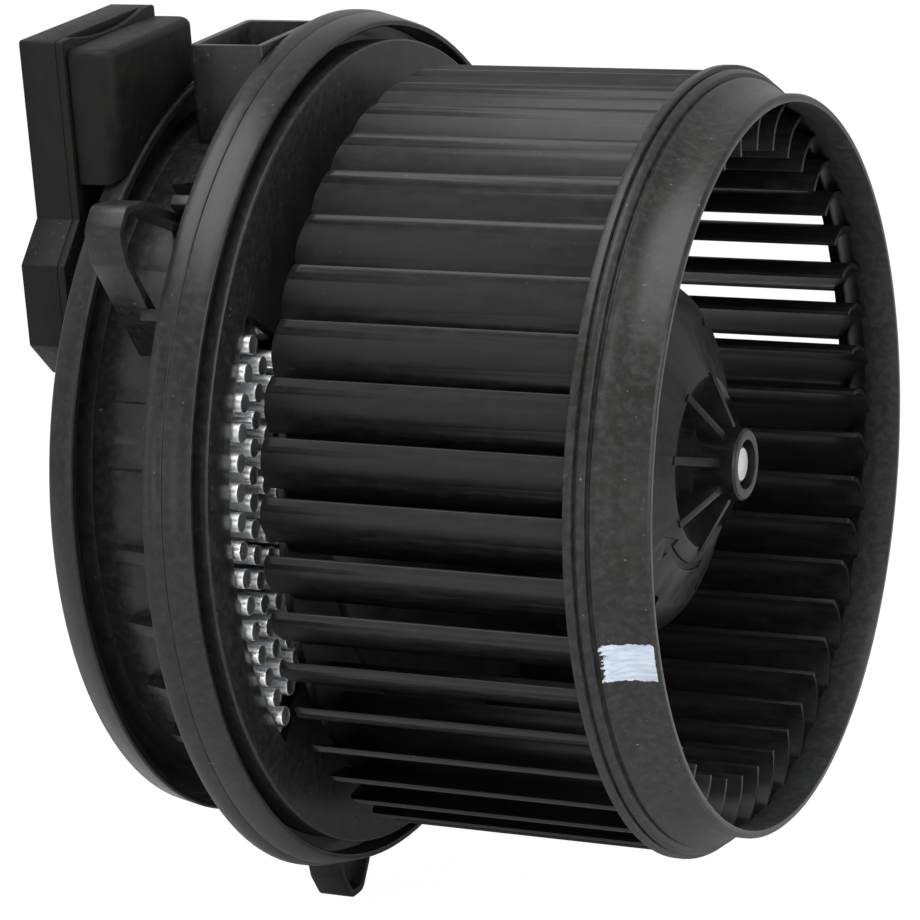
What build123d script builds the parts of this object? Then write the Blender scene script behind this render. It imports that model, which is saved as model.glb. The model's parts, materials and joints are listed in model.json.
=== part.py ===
from build123d import *
import math
import os

# Blower motor and wheel for a ventilation case.
# Millimetres. The rotor turns about X and the wheel's open inlet faces +X.
# The origin lies on that axis, in the plane of the flange rim's front edge.
# Angles round the axis start at -Y, the side of the heat sink window, and grow towards +Z.

# ---- wheel ----
BLADE_COUNT = 43
BLADE_PHASE = 7.5            # angle of a blade's root
BLADE_TIP_R = 81.6
BLADE_ROOT_R = 65.4
BLADE_ENTRY = -9.0           # angle between the blade and the radius at its root
BLADE_SHOULDER = 50.0        # the same angle where the tight bend turns into the wide one
BLADE_EXIT = 73.0            # the same angle at the tip
BLADE_ROOT_BEND = 9.2
BLADE_OUTER_BEND = 33.3
BLADE_T = 1.0
BLADE_REAR_X = 8.8
BLADE_FRONT_X = 84.0
BLADE_REAR_ROUND = 4.4
RING_REAR_X = 75.5
RING_FRONT_X = 91.1
RING_R = 82.8
RING_LAP = 1.2               # how far the ring reaches in over the blade tips
RIDGE_W = 1.8
SEAM_W = 0.6
SEAM_DEPTH = 0.6
NECK_X = 80.1
NECK_R = 80.3
TUBE_START_X = 87.0
LIP_R = 77.2
LIP_WALL = 1.7
THROAT_START_X = 77.6
THROAT_END_X = 86.0
WELD_GAP = 0.05              # gap left round pieces that are welded or clipped together

# ---- hub ----
BOSS_R = 7.6
BOSS_END_X = 82.4
BOSS_RECESS_R = 5.2
FACE_INNER_X = 73.4
FACE_INNER_R = 18.0
FACE_OUTER_X = 67.6
FACE_OUTER_R = 30.0
SHOULDER_X = 58.0
SHOULDER_R = 38.5
SKIRT_X = 50.0
SKIRT_R = 40.3
HUB_WALL = 2.0
DISC_FRONT_X = 12.6
DISC_T = 1.8
DISC_R = 75.0
FLARE_R = 57.0
GUSSET_COUNT = 8
GUSSET_T = 1.8
GUSSET_PHASE = 18.0
NOTCH_PHASE = 35.0
ARROW_DEPTH = 0.45

# ---- motor ----
SHAFT_R = 4.0
SHAFT_REAR_X = -6.0
SHAFT_FRONT_X = 81.4
PRESS_GAP = 0.01
BUSH_WALL = 2.0
BUSH_FRONT_X = 76.0
CUP_R = 34.0
CUP_WALL = 2.2
CUP_REAR_X = 22.0
CUP_FRONT_X = 60.0
MAGNET_T = 3.0
MAGNET_COUNT = 10
AIR_GAP = 0.6
STACK_REAR_X = 26.0
STACK_FRONT_X = 50.0
TOOTH_COUNT = 12
TOOTH_W = 4.2
TOOTH_TIP_T = 2.6
YOKE_T = 5.5
WIRE_BUILD = 2.1
TUBE_R = 10.0
BEARING_R = 8.0
BEARING_W = 5.0
RACE_T = 1.0
BALL_COUNT = 9
FRONT_BEARING_X = 50.0
REAR_BEARING_X = -2.0
WASHER_T = 1.0
CLIP_T = 1.0
RUNNING_GAP = 0.05

# ---- flange, housing and rear cover ----
PLATE_X = 1.6
PLATE_T = 2.0
PLATE_R = 86.9
CHANNEL_R = 89.6
CHANNEL_X = -6.0
RIM_R = 91.1
PARTING_X = -5.5
FLANGE_REAR_X = -7.6
REGISTER_R = 93.1
GASKET_T = 0.25
WEB_T = 1.75
DRUM_R = 76.0
DRUM_WALL = 2.0
DRUM_REAR_X = -31.0
RIB_COUNT = 30
RIB_PHASE = -1.2
RIB_LENGTH = 15.0
DRUM_DRAFT = 0.8             # how much the drum narrows towards its rear end
COLUMN_R = 3.3
COLUMN_INSET = 4.2           # between a screw column's axis and the drum's inside
COVER_R = 83.2
COVER_REAR_X = -37.3
COVER_T = 1.8
PLATE_HOLE_R = 12.0

# ---- heat sink ----
WINDOW_OUTER_R = 77.4
WINDOW_INNER_R = 55.2
WINDOW_HALF_ANGLE = 36.5
PIN_R = 2.0
PIN_TIP_X = 2.8
PIN_OUTER_R = 74.7
PIN_ROW_STEP = 5.7
PIN_ROWS = 4
PIN_PITCH = 4.59
PINS_IN_ROW = 15
SINK_T = 2.5
SINK_FRONT_X = -5.0

# ---- bayonet loops ----
LOOP_ANGLES = (40.5, -87.0, 165.0)
LOOP_REAR_X = -22.0
LOOP_W = 8.0
LOOP_T = 1.7
LOOP_TIP_R = 106.5
LOOP_TIP_HALF = 4.6
LOOP_FOOT_HALF = 15.4

# ---- harness socket ----
SOCKET_X = (-27.0, -10.0)
SOCKET_Y = (-25.0, 2.0)
SOCKET_TOP = 92.0
SOCKET_WALL = 1.6
SOCKET_FLOOR = 77.5
TERMINAL_COUNT = 5

# ---- controller on the back ----
BOX_REAR_X = -52.4
BOX_FRONT_X = -42.2
BOX_WALL = 1.8
BOX_TOP = 97.6
BOX_BOTTOM = 27.1
BOX_CENTRE_Y = -30.3
BOX_TOP_HALF = 19.7
BOX_WAIST_HALF = 27.7
BOX_WAIST_TOP = 52.4
BOX_WAIST_BOTTOM = 35.3
CAP_FRONT_X = -31.9
CAP_TOP = 95.6
CAP_GAP = 0.3
CONTROL_STANDOFF = 1.0

# ---- circuit board ----
BOARD_X = -11.5
BOARD_T = 1.6
BOARD_CLEARANCE = 8.5        # between the board's edge and the drum's inside
POST_R = 3.0
POST_CIRCLE_R = 46.0
SCREW_R = 1.4
SCREW_GAP = 0.15
SCREW_HEAD_R = 2.9
SCREW_HEAD_T = 1.9

LAP_R = BLADE_TIP_R - RING_LAP
DISC_REAR_X = DISC_FRONT_X - DISC_T
PLATE_REAR_X = PLATE_X - PLATE_T
WEB_FRONT_X = FLANGE_REAR_X - GASKET_T
WEB_REAR_X = WEB_FRONT_X - WEB_T
DRUM_IN_R = DRUM_R - DRUM_WALL
CUP_IN_R = CUP_R - CUP_WALL
MAGNET_IN_R = CUP_IN_R - MAGNET_T
STATOR_R = MAGNET_IN_R - AIR_GAP
SINK_REAR_X = SINK_FRONT_X - SINK_T
BOARD_REAR_X = BOARD_X - BOARD_T
BOARD_R = DRUM_IN_R - BOARD_CLEARANCE
COLUMN_CIRCLE_R = DRUM_IN_R - COLUMN_INSET
DRUM_END_R = DRUM_R - DRUM_DRAFT
THROAT_R = LIP_R - LIP_WALL


def turned(*points):
    """Solid of revolution about X from (x, radius) points."""
    return revolve(make_face(Polyline(*points, close=True)), Axis.X)


def at_angle(shape, angle):
    """Turn a shape that was built on the -Y side to its angle round the axis."""
    return Rot(-angle, 0, 0) * shape


def around(shape, angles):
    return [at_angle(shape, angle) for angle in angles]


def spread(count, phase=0.0):
    return [phase + 360.0 * number / count for number in range(count)]


def rod(x0, x1, radius, place=0.0, angle=0.0):
    """Round bar along X, with its axis at a radius and an angle."""
    bar = Rot(0, 90, 0) * Cylinder(radius, x1 - x0)
    return at_angle(Pos((x0 + x1) / 2, -place, 0) * bar, angle)


def block(x, y, z):
    """Box between two limits along each axis."""
    size = [limits[1] - limits[0] for limits in (x, y, z)]
    middle = [(limits[1] + limits[0]) / 2 for limits in (x, y, z)]
    return Pos(*middle) * Box(*size)


def sector(x0, x1, inner, outer, half_angle, centre=0.0):
    """Part of a flat ring, cut by two planes through the axis."""
    reach = 2.5 * outer
    edge = (-reach * math.cos(math.radians(half_angle)), reach * math.sin(math.radians(half_angle)))
    wedge_face = Plane.YZ * make_face(Polyline((0, 0), edge, (-reach * 1.2, 0), (edge[0], -edge[1]), close=True))
    wedge = Pos(x0, 0, 0) * extrude(wedge_face, x1 - x0)
    return at_angle(wedge & turned((x0, inner), (x1, inner), (x1, outer), (x0, outer)), centre)


def radial_plate(thickness, *points):
    """Flat plate that holds the axis, from (x, radius) points."""
    face = make_face(Polyline(*[(x, -radius) for x, radius in points], close=True))
    return extrude(face, thickness / 2, both=True)


def solids_of(shapes):
    return Compound(children=[solid for shape in shapes for solid in shape.solids()])


# ---------------------------------------------------------------- wheel

def blade_normal(heading):
    """Direction across a blade, towards the inside of its bend, where it heads that far off the radius."""
    turn = math.radians(heading)
    return Vector(math.sin(turn), math.cos(turn))


def blade_side(shift):
    """One side of the blade's outline: a tight bend at the root, then a wide one to the tip."""
    root_centre = Vector(-BLADE_ROOT_R, 0) + blade_normal(BLADE_ENTRY) * BLADE_ROOT_BEND
    outer_centre = root_centre + blade_normal(BLADE_SHOULDER) * (BLADE_OUTER_BEND - BLADE_ROOT_BEND)
    arcs = []
    for centre, radius, start, end in (
        (root_centre, BLADE_ROOT_BEND - shift, BLADE_ENTRY, BLADE_SHOULDER),
        (outer_centre, BLADE_OUTER_BEND - shift, BLADE_SHOULDER, BLADE_EXIT),
    ):
        arcs.append([centre - blade_normal(heading) * radius for heading in (start, (start + end) / 2, end)])
    return arcs


def blade_section():
    """Curved blade outline in the plane x = 0. Its tip leans towards growing angles."""
    inside = blade_side(BLADE_T / 2)
    outside = blade_side(-BLADE_T / 2)
    outline = [ThreePointArc(*points) for points in inside + outside]
    outline.append(Line(inside[0][0], outside[0][0]))
    outline.append(Line(inside[1][2], outside[1][2]))
    return Plane.YZ * make_face(outline)


def throat_arc(shift=0.0):
    """Inside of the ring where it narrows over the blades' front corners, as (x, radius)."""
    start = (THROAT_START_X, LAP_R + shift)
    end = (THROAT_END_X, THROAT_R + shift)
    middle = (start[0] * 0.6 + end[0] * 0.4, start[1] * 0.4 + end[1] * 0.6)
    return ThreePointArc(start, middle, end)


def blade_planform():
    """Outline of one blade seen from the side, as (x, radius)."""
    rear_round = (BLADE_REAR_X + 0.3 * BLADE_REAR_ROUND, BLADE_TIP_R - 0.3 * BLADE_REAR_ROUND)
    shoulder_x = RING_REAR_X - WELD_GAP
    low_r = BLADE_ROOT_R - BLADE_T
    throat = throat_arc()
    rear = Polyline(
        throat @ 1,
        (THROAT_END_X, low_r),
        (DISC_FRONT_X, low_r),
        (DISC_FRONT_X, DISC_R + WELD_GAP),
        (BLADE_REAR_X, DISC_R + WELD_GAP),
        (BLADE_REAR_X, BLADE_TIP_R - BLADE_REAR_ROUND),
    )
    rear_arc = ThreePointArc(rear @ 1, rear_round, (BLADE_REAR_X + BLADE_REAR_ROUND, BLADE_TIP_R))
    front = Polyline(rear_arc @ 1, (shoulder_x, BLADE_TIP_R), (shoulder_x, LAP_R), throat @ 0)
    return make_face([rear, rear_arc, front, throat])


def wheel_blades():
    sweep_space = revolve(blade_planform(), Axis.X)
    blank = Pos(BLADE_REAR_X, 0, 0) * extrude(blade_section(), BLADE_FRONT_X - BLADE_REAR_X)
    blade = blank & sweep_space
    return solids_of(around(blade, spread(BLADE_COUNT, BLADE_PHASE)))


def inlet_ring():
    """Shroud ring: two ridges with a seam between them, a groove, a hollow neck and a straight lip."""
    seam_x = RING_REAR_X + RIDGE_W
    second_x = seam_x + SEAM_W
    groove_x = NECK_X - 0.7
    second_r = RING_R - 0.8
    lip_x = RING_FRONT_X - 0.6
    bore_r = LAP_R + WELD_GAP
    outside = Polyline(
        (RING_REAR_X, bore_r),
        (RING_REAR_X, RING_R),
        (seam_x, RING_R),
        (seam_x, second_r - SEAM_DEPTH),
        (second_x, second_r - SEAM_DEPTH),
        (second_x, second_r),
        (groove_x, second_r - 0.8),
        (groove_x, NECK_R - 0.4),
        (NECK_X, NECK_R - 0.4),
        (NECK_X, NECK_R),
    )
    neck_middle = (NECK_X * 0.64 + TUBE_START_X * 0.36, NECK_R * 0.43 + LIP_R * 0.57)
    neck = ThreePointArc(outside @ 1, neck_middle, (TUBE_START_X, LIP_R))
    throat = throat_arc(WELD_GAP)
    lip = Polyline(
        neck @ 1, (lip_x, LIP_R), (RING_FRONT_X, LIP_R - 0.6), (RING_FRONT_X, THROAT_R), throat @ 1
    )
    return revolve(make_face([outside, neck, lip, throat, Line(throat @ 0, outside @ 0)]), Axis.X)


def hub_shell():
    """Domed hub and its boss, as one turned wall."""
    bore_r = SHAFT_R + BUSH_WALL + PRESS_GAP
    sleeve_r = bore_r + 4.0
    sleeve_x = CUP_FRONT_X + 0.2
    collar_r = BOSS_R + 2.7
    outside = Polyline(
        (BOSS_END_X, BOSS_RECESS_R),
        (BOSS_END_X, BOSS_R - 0.5),
        (BOSS_END_X - 0.5, BOSS_R),
        (FACE_INNER_X, BOSS_R + 0.3),
        (FACE_INNER_X, collar_r),
        (FACE_INNER_X - 2.6, collar_r),
        (FACE_INNER_X - 2.8, collar_r + 2.0),
        (FACE_INNER_X, FACE_INNER_R),
        (FACE_OUTER_X, FACE_OUTER_R),
    )
    shoulder = ThreePointArc(
        outside @ 1,
        (FACE_OUTER_X * 0.6 + SHOULDER_X * 0.4 + 0.6, FACE_OUTER_R * 0.4 + SHOULDER_R * 0.6 + 0.4),
        (SHOULDER_X, SHOULDER_R),
    )
    skirt = Polyline(shoulder @ 1, (SKIRT_X, SKIRT_R), (SKIRT_X, SKIRT_R - HUB_WALL))
    inside = Polyline(
        skirt @ 1,
        (SHOULDER_X - 0.8, SHOULDER_R - HUB_WALL),
        (FACE_OUTER_X - 4.6, FACE_OUTER_R + 3.2),
        (FACE_OUTER_X - 2.0, FACE_OUTER_R - 1.0),
        (FACE_INNER_X - 2.4, FACE_INNER_R + 0.4),
        (FACE_INNER_X - 5.0, collar_r + 2.4),
        (FACE_INNER_X - 6.5, sleeve_r),
        (sleeve_x, sleeve_r),
        (sleeve_x, bore_r),
        (BUSH_FRONT_X, bore_r),
        (BUSH_FRONT_X, BOSS_RECESS_R),
        outside @ 0,
    )
    return revolve(make_face([outside, shoulder, skirt, inside]), Axis.X)


def turning_arrow():
    """Shallow curved arrow in the hub's face that points the way the wheel turns."""
    reach = FACE_OUTER_R - FACE_INNER_R
    track_r = FACE_INNER_R + 0.35 * reach
    skin = turned(
        (FACE_INNER_X + 1, FACE_INNER_R),
        (FACE_OUTER_X + 1, FACE_OUTER_R),
        (FACE_OUTER_X - ARROW_DEPTH, FACE_OUTER_R),
        (FACE_INNER_X - ARROW_DEPTH, FACE_INNER_R),
    )
    shaft_part = sector(FACE_OUTER_X - 2, FACE_INNER_X + 2, track_r - 0.8, track_r + 0.8, 25, -62)
    head_face = Plane.YZ * make_face(Polyline((-track_r - 2.5, 0), (-track_r + 2.5, 0), (-track_r, 4.8), close=True))
    head = Pos(FACE_OUTER_X - 2, 0, 0) * extrude(head_face, FACE_INNER_X - FACE_OUTER_X + 4)
    return (shaft_part + at_angle(head, -38)) & skin


def wheel_hub():
    gusset = radial_plate(
        GUSSET_T,
        (BOSS_END_X - 3.4, BOSS_R - 0.6),
        (BOSS_END_X - 3.4, BOSS_R + 0.6),
        (FACE_INNER_X + 0.1, FACE_INNER_R + 0.8),
        (FACE_INNER_X - 1.6, FACE_INNER_R),
        (FACE_INNER_X - 4.0, BOSS_R + 4.0),
        (FACE_INNER_X - 4.0, BOSS_R - 0.6),
    )
    notch = block(
        (FACE_OUTER_X - 0.9, FACE_OUTER_X + 3),
        (-FACE_OUTER_R - 3.0, -FACE_OUTER_R + 0.2),
        (-1.1, 1.1),
    )
    hub = hub_shell() + around(gusset, spread(GUSSET_COUNT, GUSSET_PHASE))
    hub = hub - around(notch, spread(GUSSET_COUNT, NOTCH_PHASE))
    return hub - turning_arrow()


def hub_flare():
    """Curved wall that widens from the hub's skirt to the disc."""
    start_x = SKIRT_X - WELD_GAP
    flare_x = DISC_FRONT_X * 0.72 + SKIRT_X * 0.28
    flare_r = SKIRT_R + 0.22 * (FLARE_R - SKIRT_R)
    outside = ThreePointArc((start_x, SKIRT_R), (flare_x, flare_r), (DISC_FRONT_X, FLARE_R))
    edge = Polyline(outside @ 1, (DISC_REAR_X, FLARE_R), (DISC_REAR_X, FLARE_R - HUB_WALL))
    inside = ThreePointArc(edge @ 1, (flare_x - 1.4, flare_r - 1.5), (start_x, SKIRT_R - HUB_WALL))
    return revolve(make_face([outside, edge, inside, Line(inside @ 1, outside @ 0)]), Axis.X)


def wheel_disc():
    """Flat disc round the hub's flare, which carries the blades."""
    inner = FLARE_R + WELD_GAP
    return turned((DISC_REAR_X, inner), (DISC_FRONT_X, inner), (DISC_FRONT_X, DISC_R), (DISC_REAR_X, DISC_R))


def hub_bush():
    """Steel sleeve moulded into the boss."""
    outer = SHAFT_R + BUSH_WALL
    inner = SHAFT_R + PRESS_GAP
    return turned(
        (CUP_FRONT_X + 0.4, inner), (BUSH_FRONT_X - 0.2, inner), (BUSH_FRONT_X - 0.2, outer), (CUP_FRONT_X + 0.4, outer)
    )


# ---------------------------------------------------------------- motor

def motor_shaft():
    groove_front = REAR_BEARING_X - 0.2
    groove_r = SHAFT_R - 0.5
    return turned(
        (SHAFT_REAR_X, 0),
        (SHAFT_REAR_X, SHAFT_R - 0.5),
        (SHAFT_REAR_X + 0.5, SHAFT_R),
        (groove_front - CLIP_T, SHAFT_R),
        (groove_front - CLIP_T, groove_r),
        (groove_front, groove_r),
        (groove_front, SHAFT_R),
        (SHAFT_FRONT_X - 0.6, SHAFT_R),
        (SHAFT_FRONT_X, SHAFT_R - 0.6),
        (SHAFT_FRONT_X, 0),
    )


def shaft_clip():
    """Open retaining ring in the shaft's rear groove."""
    x1 = REAR_BEARING_X - 0.2
    ring = turned((x1 - CLIP_T, SHAFT_R - 0.48), (x1, SHAFT_R - 0.48), (x1, SHAFT_R + 0.9), (x1 - CLIP_T, SHAFT_R + 0.9))
    return ring - block((x1 - 3, x1 + 1), (-8, 0), (-1.6, 1.6))


def rotor_cup():
    """Pressed steel cup that carries the magnets and turns round the stator."""
    bore = SHAFT_R + PRESS_GAP
    race_x = FRONT_BEARING_X + BEARING_W
    cup = turned(
        (CUP_REAR_X, CUP_IN_R),
        (CUP_REAR_X, CUP_R),
        (CUP_FRONT_X - 2, CUP_R),
        (CUP_FRONT_X, CUP_R - 2),
        (CUP_FRONT_X, bore),
        (race_x + PRESS_GAP, bore),
        (race_x + PRESS_GAP, SHAFT_R + RACE_T - 0.1),
        (CUP_FRONT_X - CUP_WALL, SHAFT_R + 3),
        (CUP_FRONT_X - CUP_WALL, CUP_IN_R),
    )
    vent = rod(CUP_FRONT_X - 2 * CUP_WALL, CUP_FRONT_X + 1, 4.0, place=(CUP_IN_R + BOSS_R) / 2)
    return cup - around(vent, spread(6))


def rotor_magnets():
    half_angle = 180.0 / MAGNET_COUNT - 1.5
    arc = sector(STACK_REAR_X - 1, STACK_FRONT_X + 2, MAGNET_IN_R, CUP_IN_R - PRESS_GAP, half_angle)
    return solids_of(around(arc, spread(MAGNET_COUNT)))


def stator_core():
    """Stack of laminations: yoke, teeth and tooth tips."""
    tip_half_angle = 180.0 / TOOTH_COUNT - 2.6
    yoke_r = TUBE_R + YOKE_T
    inner = TUBE_R + PRESS_GAP
    yoke = turned(
        (STACK_REAR_X, inner), (STACK_FRONT_X, inner), (STACK_FRONT_X, yoke_r), (STACK_REAR_X, yoke_r)
    )
    tooth = block((STACK_REAR_X, STACK_FRONT_X), (-STATOR_R + 1, -yoke_r + 1), (-TOOTH_W / 2, TOOTH_W / 2))
    tip = sector(STACK_REAR_X, STACK_FRONT_X, STATOR_R - TOOTH_TIP_T, STATOR_R, tip_half_angle)
    return yoke + around(tooth + tip, spread(TOOTH_COUNT))


def stator_windings():
    """One coil round each tooth."""
    top_r = STATOR_R - TOOTH_TIP_T - 1.0
    foot_r = TUBE_R + YOKE_T + 1.0
    hole_half = TOOTH_W / 2 + 0.1
    half = hole_half + WIRE_BUILD
    coil = block((STACK_REAR_X - 3.4, STACK_FRONT_X + 3.4), (-top_r, -foot_r), (-half, half))
    coil = fillet(coil.edges().filter_by(Axis.Y), WIRE_BUILD - 0.4)
    coil = coil - block((STACK_REAR_X - 0.2, STACK_FRONT_X + 0.2), (-top_r - 1, -foot_r + 1), (-hole_half, hole_half))
    return solids_of(around(coil, spread(TOOTH_COUNT)))


def winding_insulators():
    """End rings that keep the wire off the yoke."""
    inner = TUBE_R + 0.4
    outer = TUBE_R + YOKE_T - 0.2
    rings = []
    for x0, x1 in ((STACK_REAR_X - 3.0, STACK_REAR_X), (STACK_FRONT_X, STACK_FRONT_X + 3.0)):
        rings.append(turned((x0, inner), (x1, inner), (x1, outer), (x0, outer)))
    return solids_of(rings)


def stator_support():
    """Cast tube for both bearings, with the disc that bolts to the flange plate."""
    disc_x = PLATE_REAR_X - 3.0
    seat_r = BEARING_R + PRESS_GAP
    tube_end = FRONT_BEARING_X + BEARING_W
    mid_r = BEARING_R - RACE_T
    body = turned(
        (disc_x, seat_r),
        (REAR_BEARING_X + BEARING_W, seat_r),
        (REAR_BEARING_X + BEARING_W, mid_r),
        (FRONT_BEARING_X - WASHER_T, mid_r),
        (FRONT_BEARING_X - WASHER_T, seat_r),
        (tube_end, seat_r),
        (tube_end, TUBE_R),
        (PLATE_X + 4.0, TUBE_R),
        (PLATE_X + 1.0, PLATE_HOLE_R - 0.3),
        (PLATE_REAR_X, PLATE_HOLE_R - 0.3),
        (PLATE_REAR_X, 30.0),
        (disc_x, 30.0),
    )
    hole = rod(disc_x - 1, PLATE_REAR_X + 1, SCREW_R + SCREW_GAP, place=22.0)
    return body - around(hole, spread(4, 45))


def bearing_rings(inner, outer, x0, x1):
    """The same ring in the front and in the rear bearing."""
    rings = []
    for start in (REAR_BEARING_X, FRONT_BEARING_X):
        rings.append(turned((start + x0, inner), (start + x1, inner), (start + x1, outer), (start + x0, outer)))
    return solids_of(rings)


def ball_circle_r():
    return (BEARING_R + SHAFT_R) / 2


def ball_r():
    return (BEARING_R - SHAFT_R) / 2 - RACE_T - RUNNING_GAP


def bearing_inner_races():
    return bearing_rings(SHAFT_R + PRESS_GAP, SHAFT_R + RACE_T, 0, BEARING_W)


def bearing_outer_races():
    return bearing_rings(BEARING_R - RACE_T, BEARING_R, 0, BEARING_W)


def bearing_shields():
    inner = SHAFT_R + RACE_T + 2 * RUNNING_GAP
    outer = BEARING_R - RACE_T - PRESS_GAP
    rear = bearing_rings(inner, outer, 0.1, 0.4)
    front = bearing_rings(inner, outer, BEARING_W - 0.4, BEARING_W - 0.1)
    return solids_of([rear, front])


def bearing_balls():
    balls = []
    for start in (REAR_BEARING_X, FRONT_BEARING_X):
        ball = Pos(start + BEARING_W / 2, -ball_circle_r(), 0) * Sphere(ball_r())
        balls += around(ball, spread(BALL_COUNT))
    return solids_of(balls)


def bearing_cages():
    """Crown cages: a ring beside the balls with a pocket for each."""
    pocket = ball_r() + RUNNING_GAP / 2
    middle = ball_circle_r()
    rings = []
    for start in (REAR_BEARING_X, FRONT_BEARING_X):
        x0 = start + BEARING_W / 2 + 0.3
        ring = turned((x0, middle - 0.5), (x0 + 1.2, middle - 0.5), (x0 + 1.2, middle + 0.5), (x0, middle + 0.5))
        ball = Pos(start + BEARING_W / 2, -middle, 0) * Sphere(pocket)
        rings.append(ring - around(ball, spread(BALL_COUNT)))
    return solids_of(rings)


def preload_washer():
    x1 = FRONT_BEARING_X
    x0 = x1 - WASHER_T
    inner = BEARING_R - RACE_T + 0.1
    outer = BEARING_R - 0.1
    return turned((x0, inner), (x1, inner), (x1, outer), (x0, outer))


# ---------------------------------------------------------------- flange and housing

def window_cut():
    return sector(PLATE_REAR_X - 1, PLATE_X + 1, WINDOW_INNER_R, WINDOW_OUTER_R, WINDOW_HALF_ANGLE)


def post_angles():
    return spread(4)


def mounting_flange():
    """Front plate with the sealing channel, the rim, the heat sink window and the board posts."""
    parting_r = RIM_R + (REGISTER_R - RIM_R) * 0.7
    inner_rim_r = REGISTER_R - 1.9
    body = turned(
        (PLATE_X, PLATE_HOLE_R),
        (PLATE_X, PLATE_R - 0.4),
        (PLATE_X - 0.4, PLATE_R),
        (CHANNEL_X, PLATE_R - 0.3),
        (CHANNEL_X, CHANNEL_R + 0.2),
        (-0.5, CHANNEL_R),
        (0, CHANNEL_R + 0.3),
        (0, RIM_R - 0.4),
        (-0.5, RIM_R),
        (PARTING_X, parting_r),
        (PARTING_X, inner_rim_r),
        (FLANGE_REAR_X, inner_rim_r),
        (FLANGE_REAR_X, PLATE_R - 2.4),
        (PLATE_REAR_X, PLATE_R - 2.0),
        (PLATE_REAR_X, PLATE_HOLE_R),
    )
    post = rod(BOARD_X, PLATE_REAR_X, POST_R, place=POST_CIRCLE_R)
    post_bore = rod(BOARD_X - 1, PLATE_REAR_X - 2, SCREW_R, place=POST_CIRCLE_R)
    motor_hole = rod(PLATE_REAR_X - 1, PLATE_X + 1, SCREW_R, place=22.0)
    body = body + around(post, post_angles()) - around(post_bore, post_angles())
    return body - around(motor_hole, spread(4, 45)) - window_cut()


def heat_sink():
    """Aluminium base with staggered rows of pins that stand in the flange's window."""
    half_angle = WINDOW_HALF_ANGLE + 5.5
    outer = WINDOW_OUTER_R + 3.0
    inner = WINDOW_INNER_R - 2.5
    body = sector(SINK_REAR_X, SINK_FRONT_X, inner, outer, half_angle)
    pins = []
    for row in range(PIN_ROWS):
        row_r = PIN_OUTER_R - row * PIN_ROW_STEP
        shift = 0.5 * (row % 2)
        count = PINS_IN_ROW - row % 2
        for number in range(count):
            angle = ((PINS_IN_ROW - 1) / 2 - number - shift) * PIN_PITCH
            pin = rod(SINK_FRONT_X - 0.5, PIN_TIP_X, PIN_R, place=row_r)
            pins.append(at_angle(pin, angle))
    lugs = []
    for angle in (half_angle - 2.4, 2.4 - half_angle):
        for place in (inner + 6, outer - 7):
            lugs.append(rod(SINK_FRONT_X - 0.5, PLATE_REAR_X, 2.2, place=place, angle=angle))
    return body + pins + lugs


def drum_solid(gap=0.0):
    """The whole space inside the drum's outer face."""
    return turned((WEB_FRONT_X, 0), (WEB_FRONT_X, DRUM_R + gap), (DRUM_REAR_X, DRUM_END_R + gap), (DRUM_REAR_X, 0))


def loop_strap():
    """Flat strap bent into a tapered loop that stands out past the rim."""
    foot = DRUM_R - 4.0
    outer = [
        (foot, -LOOP_FOOT_HALF),
        (LOOP_TIP_R - 6, -LOOP_TIP_HALF - 2.6),
        (LOOP_TIP_R, -LOOP_TIP_HALF + 1.6),
        (LOOP_TIP_R, LOOP_TIP_HALF - 1.6),
        (LOOP_TIP_R - 6, LOOP_TIP_HALF + 2.6),
        (foot, LOOP_FOOT_HALF),
    ]
    face = make_face(Polyline(*[(-radius, side) for radius, side in outer], close=True))
    face = fillet(face.vertices().filter_by(lambda corner: corner.X < -LOOP_TIP_R + 8), 3.2)
    strap = face - offset(face, -LOOP_T, kind=Kind.INTERSECTION)
    return Pos(LOOP_REAR_X, 0, 0) * extrude(Plane.YZ * strap, LOOP_W)


def loop_web(angle):
    """Thin wall that ties one side of a loop to the rim's rear."""
    front_x = WEB_REAR_X - WELD_GAP
    return sector(LOOP_REAR_X + LOOP_W - 0.5, front_x, DRUM_R - 0.6, REGISTER_R - 2.0, 0.8, angle)


def bayonet_loops():
    loop = loop_strap() + loop_web(-8.0) + loop_web(8.0) - drum_solid(WELD_GAP)
    return solids_of(around(loop, LOOP_ANGLES))


def harness_socket():
    """Open shroud for the wiring connector, with a latch ledge in one long wall."""
    shroud = block(SOCKET_X, SOCKET_Y, (DRUM_R - 6, SOCKET_TOP))
    upright = shroud.edges().filter_by(Axis.Z)
    shroud = fillet(upright, 1.2)
    space_x = (SOCKET_X[0] + SOCKET_WALL, SOCKET_X[1] - SOCKET_WALL)
    space_y = (SOCKET_Y[0] + SOCKET_WALL, SOCKET_Y[1] - SOCKET_WALL)
    shroud = shroud - block(space_x, space_y, (SOCKET_FLOOR, SOCKET_TOP + 1))
    middle_y = (SOCKET_Y[0] + SOCKET_Y[1]) / 2
    slot = block((space_x[1] - 0.5, SOCKET_X[1] + 1), (middle_y - 4, middle_y + 4), (SOCKET_TOP - 6, SOCKET_TOP - 2.5))
    ledge = block((space_x[0], space_x[0] + 1.2), (middle_y - 5, middle_y + 5), (SOCKET_TOP - 6, SOCKET_TOP - 4.5))
    return shroud - slot + ledge - drum_solid(WELD_GAP)


def housing_rim():
    """Widest ring of the case, behind the flange, with the wall down to the drum."""
    collar_r = REGISTER_R - 1.8
    parting_r = RIM_R + (REGISTER_R - RIM_R) * 0.7
    inner = DRUM_R + WELD_GAP
    return turned(
        (PARTING_X - WELD_GAP, collar_r),
        (PARTING_X - WELD_GAP, parting_r),
        (WEB_FRONT_X, REGISTER_R),
        (WEB_REAR_X, REGISTER_R),
        (WEB_REAR_X, inner),
        (WEB_FRONT_X, inner),
        (WEB_FRONT_X, collar_r),
    )


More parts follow.
